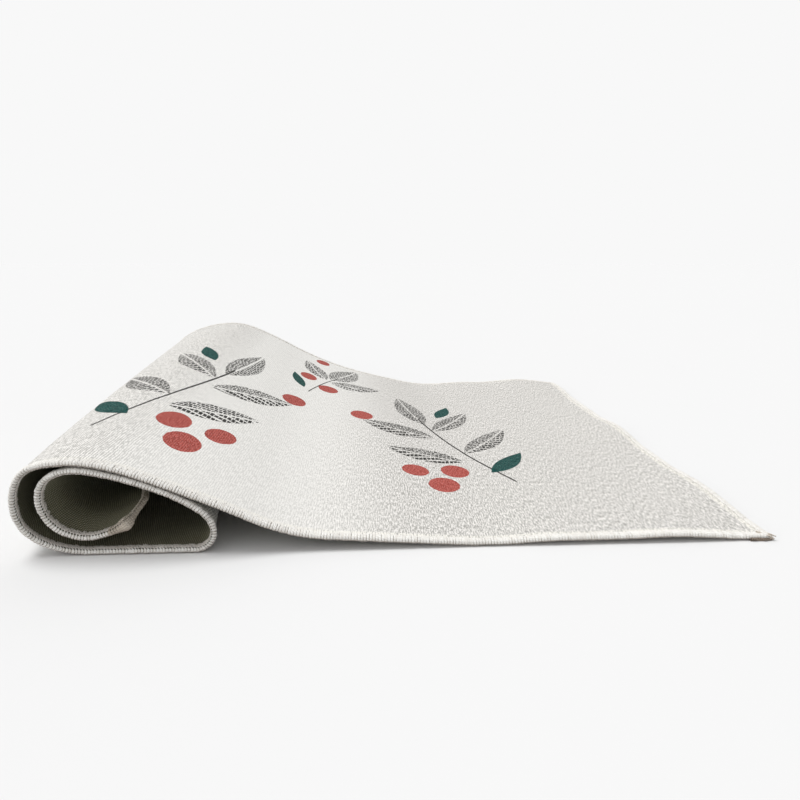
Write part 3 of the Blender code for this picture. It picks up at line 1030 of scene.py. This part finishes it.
# ---- stage -------------------------------------------------------------------------------
PAPER = 0.939  # how light the backdrop and the open floor show
AROUND = 0.54  # soft light from all sides
KEY_AIM = (0.36, -0.14, -1.0)  # the key light's way: from above and a little left
KEY_SOFT = 26.0  # its angular size
FILL = 0.38  # a weak light from low down at the front left
FILL_AIM = (0.80, 0.35, -0.30)


def make_stage():
    floor_material, n, shader = fabric("pale_floor", 0.95, specular=0.0)
    spot = n.new("ShaderNodeTexCoord").outputs["Object"]
    grain = n.noise(spot, 3.0, 3.0, 0.5, dims="3D")[0]
    n.tree.links.new(
        n.mix(grain, (0.799, 0.799, 0.799), (0.803, 0.803, 0.803)),
        shader.inputs["Base Color"],
    )
    bpy.ops.mesh.primitive_plane_add(size=120.0, location=(0.0, 0.0, -0.00005))
    floor = bpy.context.object
    floor.name = "studio_floor"
    floor.data.materials.append(floor_material)

    world = bpy.data.worlds.new("studio")
    bpy.context.scene.world = world
    world.use_nodes = True
    w = Nodes(world.node_tree)
    around = world.node_tree.nodes["Background"]
    around.inputs["Color"].default_value = (1.0, 1.0, 1.0, 1.0)
    around.inputs["Strength"].default_value = AROUND
    backdrop = w.new(
        "ShaderNodeBackground", {"Color": (1.0, 1.0, 1.0, 1.0), "Strength": PAPER}
    )
    seen = w.new("ShaderNodeLightPath").outputs["Is Camera Ray"]
    both = w.new("ShaderNodeMixShader", {0: seen, 1: around.outputs[0], 2: backdrop.outputs[0]})
    w.tree.links.new(both.outputs[0], world.node_tree.nodes["World Output"].inputs["Surface"])

    key = bpy.data.lights.new("key", "SUN")
    aim = Vector(KEY_AIM).normalized()
    low = -Vector(FILL_AIM).normalized().z
    key.energy = (math.pi * (PAPER / 0.8 - AROUND) - FILL * low) / -aim.z
    key.angle = math.radians(KEY_SOFT)
    lamp = bpy.data.objects.new("key", key)
    lamp.rotation_euler = aim.to_track_quat("-Z", "Y").to_euler()
    bpy.context.scene.collection.objects.link(lamp)

    fill = bpy.data.lights.new("fill", "SUN")
    fill.energy = FILL
    fill.angle = math.radians(50.0)
    fill_lamp = bpy.data.objects.new("fill", fill)
    fill_lamp.rotation_euler = Vector(FILL_AIM).to_track_quat("-Z", "Y").to_euler()
    bpy.context.scene.collection.objects.link(fill_lamp)

    lens = bpy.data.cameras.new("camera")
    lens.lens, lens.sensor_width, lens.clip_start, lens.clip_end = 24.089, 36.0, 0.01, 200.0
    camera = bpy.data.objects.new("camera", lens)
    camera.location = (0.0269, -0.9433, 0.3152)
    camera.rotation_euler = (math.radians(90.0 - 14.527), 0.0, math.radians(-2.513))
    bpy.context.scene.collection.objects.link(camera)
    bpy.context.scene.camera = camera
    bpy.context.scene.view_settings.view_transform = "Standard"


def main():
    make_stage()
    laid = Laid()
    laid.settle()
    cloth = make_cloth(
        laid,
        [pile("chenille_plain", False), pile("chenille_printed", True), backing(), cut_side()],
    )
    # the last number of each thread is its share of painted shade on the sides that face down
    face_thread = yarn("overlock_yarn", srgb(230, 227, 221), srgb(252, 251, 248), srgb(218, 212, 204), 0.80)
    back_thread = yarn("overlock_yarn_back", srgb(214, 207, 199), srgb(250, 246, 240), srgb(196, 186, 177), 0.45)
    end_thread = yarn("overlock_yarn_ends", srgb(186, 174, 158), srgb(242, 236, 227), srgb(142, 126, 108), 0.90)
    # a dark thread for the ends below the front edge: painted shade
    shaded_low_thread = yarn("overlock_yarn_low_ends_shaded", srgb(52, 43, 36), srgb(186, 170, 153), srgb(66, 54, 45), 0.50)
    # a darker copy of the thread for the inner end: painted shade
    shaded_inner_thread = yarn("overlock_yarn_inner_shaded", srgb(172, 161, 147), srgb(218, 209, 196), srgb(158, 145, 130), 0.60)
    sewing = make_sewing(laid, [face_thread, back_thread, shaded_inner_thread])
    tail = make_tail(laid, [end_thread, shaded_low_thread])
    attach(cloth, "root")
    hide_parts("rug_cloth")
    for piece in sewing + [tail]:
        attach(piece, "root")
    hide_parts("overlock_edge")


main()
